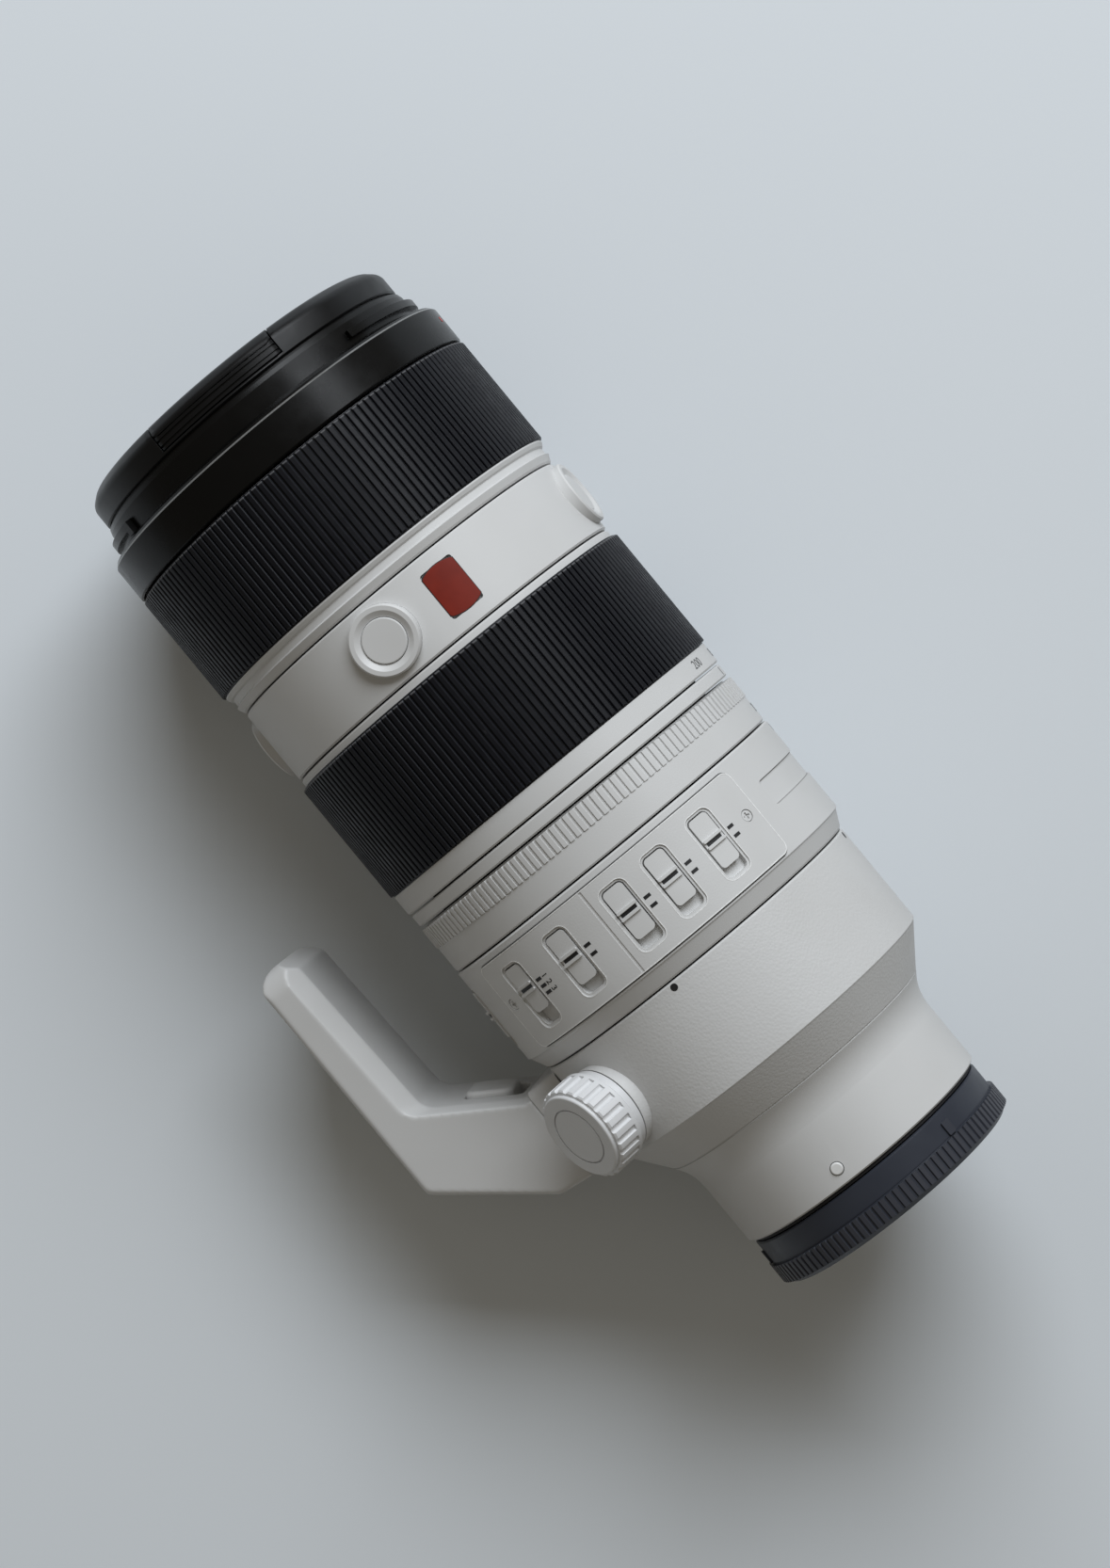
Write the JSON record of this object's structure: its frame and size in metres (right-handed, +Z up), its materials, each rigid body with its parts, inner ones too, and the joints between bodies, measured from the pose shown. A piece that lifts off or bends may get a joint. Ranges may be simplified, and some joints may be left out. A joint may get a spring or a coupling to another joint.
{
  "type": "camera zoom lens",
  "caption": "White telephoto zoom lens lying on its side, with ribbed rubber grips, a switch panel, a turning tripod collar with foot and lock knob, and end caps.",
  "frame": {"origin": "on the optical axis, at the plane of the mount flange", "axes": "+X along the optical axis to the front, +Z up as it lies on a table, +Y to the foot side"},
  "size_m": [0.2219, 0.1216, 0.0878],
  "materials": {
    "white_paint": "satin warm white paint with a fine grain",
    "white_plastic": "moulded warm white plastic",
    "grip_rubber": "ribbed black rubber",
    "black_front": "satin black",
    "slate_cap": "satin slate grey moulding",
    "red_plate": "satin dark red enamel",
    "mount_metal": "bright turned metal",
    "gold_contact": "gold plated",
    "black_plastic": "matt black",
    "barrel_metal": "black anodised",
    "rod_steel": "ground",
    "blade_steel": "blackened",
    "lens_glass": "coated optical glass",
    "board": "green board"
  },
  "bodies": {
    "barrel": {"inner_barrel": "barrel_metal", "mount_flange": "mount_metal", "mount_screws": "mount_metal", "mount_seal": "grip_rubber", "contact_block": "black_plastic", "contact_pins": "gold_contact", "rear_housing": "white_paint", "mount_dot": "white_plastic", "main_housing": "white_paint", "focus_switch_plate": "white_plastic", "mode_switch_plate": "white_plastic", "panel_screws": "mount_metal", "index_band": "white_paint", "upper_band": "white_paint", "button_bezels": "white_plastic", "badge_plate": "red_plate", "front_barrel": "black_front", "front_lens": "lens_glass", "front_retainer": "black_front", "front_cell": "black_plastic", "second_lens": "lens_glass", "guide_rods": "rod_steel", "iris_housing": "black_plastic", "iris_blades": "blade_steel", "rear_cell": "black_plastic", "rear_lens": "lens_glass", "circuit_board": "board"},
    "focus_ring": {"focus_ring": "white_paint", "focus_rubber": "grip_rubber"},
    "zoom_ring": {"zoom_ring": "white_paint", "zoom_rubber": "grip_rubber", "cam_tube": "barrel_metal"},
    "aperture_ring": {"aperture_ring": "white_paint"},
    "collar": {"collar_ring": "white_paint", "tripod_foot": "white_paint"},
    "lock_knob": {"lock_knob": "white_paint"},
    "front_cap": {"front_cap": "black_front"},
    "cap_tab_upper": {"cap_tab_upper": "black_front"},
    "cap_tab_lower": {"cap_tab_lower": "black_front"},
    "rear_cap": {"rear_cap": "slate_cap"},
    "zoom_group": {"zoom_cell": "black_plastic", "zoom_lens": "lens_glass"},
    "focus_group": {"focus_cell": "black_plastic", "focus_lens": "lens_glass"},
    "rear_focus_group": {"rear_focus_cell": "black_plastic", "rear_focus_lens": "lens_glass"},
    "stabiliser_carriage": {"stabiliser_carriage": "black_plastic"},
    "stabiliser_group": {"stabiliser_cell": "black_plastic", "stabiliser_lens": "lens_glass"},
    "foot_release": {"foot_release": "white_plastic"},
    "hold_button_side": {"hold_button_side": "white_plastic"},
    "hold_button_top": {"hold_button_top": "white_plastic"},
    "hold_button_foot": {"hold_button_foot": "white_plastic"},
    "focus_mode_slider": {"focus_mode_slider": "white_plastic"},
    "full_time_slider": {"full_time_slider": "white_plastic"},
    "focus_range_slider": {"focus_range_slider": "white_plastic"},
    "stabiliser_slider": {"stabiliser_slider": "white_plastic"},
    "stabiliser_mode_slider": {"stabiliser_mode_slider": "white_plastic"},
    "iris_lock_slider": {"iris_lock_slider": "white_plastic"},
    "click_slider": {"click_slider": "white_plastic"}
  },
  "joints": [
    {"name": "focus_ring_turn", "type": "hinge", "parent": "barrel", "child": "focus_ring", "pos_m": [0.17, 0, 0], "axis": [1, 0, 0], "continuous": true},
    {"name": "zoom_ring_turn", "type": "hinge", "parent": "barrel", "child": "zoom_ring", "pos_m": [0.12, 0, 0], "axis": [1, 0, 0], "range_deg": [-50, 15]},
    {"name": "aperture_ring_turn", "type": "hinge", "parent": "barrel", "child": "aperture_ring", "pos_m": [0.09, 0, 0], "axis": [1, 0, 0], "range_deg": [-100, 0]},
    {"name": "collar_turn", "type": "hinge", "parent": "barrel", "child": "collar", "pos_m": [0.04, 0, 0], "axis": [1, 0, 0], "continuous": true},
    {"name": "foot_release_slide", "type": "slide", "parent": "collar", "child": "foot_release", "axis": [-0.5306, -0.8291, 0.1762], "range_m": [0, 0.002], "stiffness_N_per_m": 300, "springref_m": -0.002},
    {"name": "lock_knob_turn", "type": "hinge", "parent": "collar", "child": "lock_knob", "pos_m": [0.042, 0.03439, 0.02233], "axis": [0, 0.8387, 0.5446], "range_deg": [0, 360]},
    {"name": "front_cap_pull", "type": "slide", "parent": "barrel", "child": "front_cap", "axis": [1, 0, 0], "range_m": [0, 0.012]},
    {"name": "cap_tab_upper_press", "type": "slide", "parent": "front_cap", "child": "cap_tab_upper", "axis": [0, -0.0958, -0.9954], "range_m": [0, 0.0025], "stiffness_N_per_m": 400, "springref_m": -0.002},
    {"name": "cap_tab_lower_press", "type": "slide", "parent": "front_cap", "child": "cap_tab_lower", "axis": [0, 0.0958, 0.9954], "range_m": [0, 0.0025], "stiffness_N_per_m": 400, "springref_m": -0.002},
    {"name": "rear_cap_twist", "type": "hinge", "parent": "barrel", "child": "rear_cap", "pos_m": [-0.006, 0, 0], "axis": [1, 0, 0], "range_deg": [0, 60]},
    {"name": "hold_button_side_press", "type": "slide", "parent": "barrel", "child": "hold_button_side", "axis": [0, -0.2079, -0.9781], "range_m": [0, 0.0008], "stiffness_N_per_m": 400, "springref_m": -0.001},
    {"name": "hold_button_top_press", "type": "slide", "parent": "barrel", "child": "hold_button_top", "axis": [0, 0.9781, -0.2079], "range_m": [0, 0.0008], "stiffness_N_per_m": 400, "springref_m": -0.001},
    {"name": "hold_button_foot_press", "type": "slide", "parent": "barrel", "child": "hold_button_foot", "axis": [0, -0.9781, 0.2079], "range_m": [0, 0.0008], "stiffness_N_per_m": 400, "springref_m": -0.001},
    {"name": "focus_mode_slide", "type": "slide", "parent": "barrel", "child": "focus_mode_slider", "axis": [-1, 0, 0], "range_m": [0, 0.0021]},
    {"name": "full_time_slide", "type": "slide", "parent": "barrel", "child": "full_time_slider", "axis": [-1, 0, 0], "range_m": [0, 0.0021]},
    {"name": "focus_range_slide", "type": "slide", "parent": "barrel", "child": "focus_range_slider", "axis": [-1, 0, 0], "range_m": [0, 0.0021]},
    {"name": "stabiliser_slide", "type": "slide", "parent": "barrel", "child": "stabiliser_slider", "axis": [-1, 0, 0], "range_m": [0, 0.0021]},
    {"name": "stabiliser_mode_slide", "type": "slide", "parent": "barrel", "child": "stabiliser_mode_slider", "axis": [-1, 0, 0], "range_m": [0, 0.003]},
    {"name": "iris_lock_slide", "type": "slide", "parent": "barrel", "child": "iris_lock_slider", "axis": [-1, 0, 0], "range_m": [0, 0.0021]},
    {"name": "click_slide", "type": "slide", "parent": "barrel", "child": "click_slider", "axis": [-1, 0, 0], "range_m": [0, 0.0021]},
    {"name": "zoom_group_slide", "type": "slide", "parent": "barrel", "child": "zoom_group", "axis": [1, 0, 0], "range_m": [-0.0071, 0.0232]},
    {"name": "focus_group_slide", "type": "slide", "parent": "barrel", "child": "focus_group", "axis": [1, 0, 0], "range_m": [-0.0025, 0.006]},
    {"name": "rear_focus_group_slide", "type": "slide", "parent": "barrel", "child": "rear_focus_group", "axis": [1, 0, 0], "range_m": [-0.005, 0.003]},
    {"name": "stabiliser_side_shift", "type": "slide", "parent": "barrel", "child": "stabiliser_carriage", "axis": [0, 1, 0], "range_m": [-0.0008, 0.0008]},
    {"name": "stabiliser_height_shift", "type": "slide", "parent": "stabiliser_carriage", "child": "stabiliser_group", "axis": [0, 0, 1], "range_m": [-0.0008, 0.0008]}
  ],
  "couplings": [
    {"joint": "zoom_group_slide", "follows": "zoom_ring_turn", "m_per_rad": -0.0264}
  ]
}
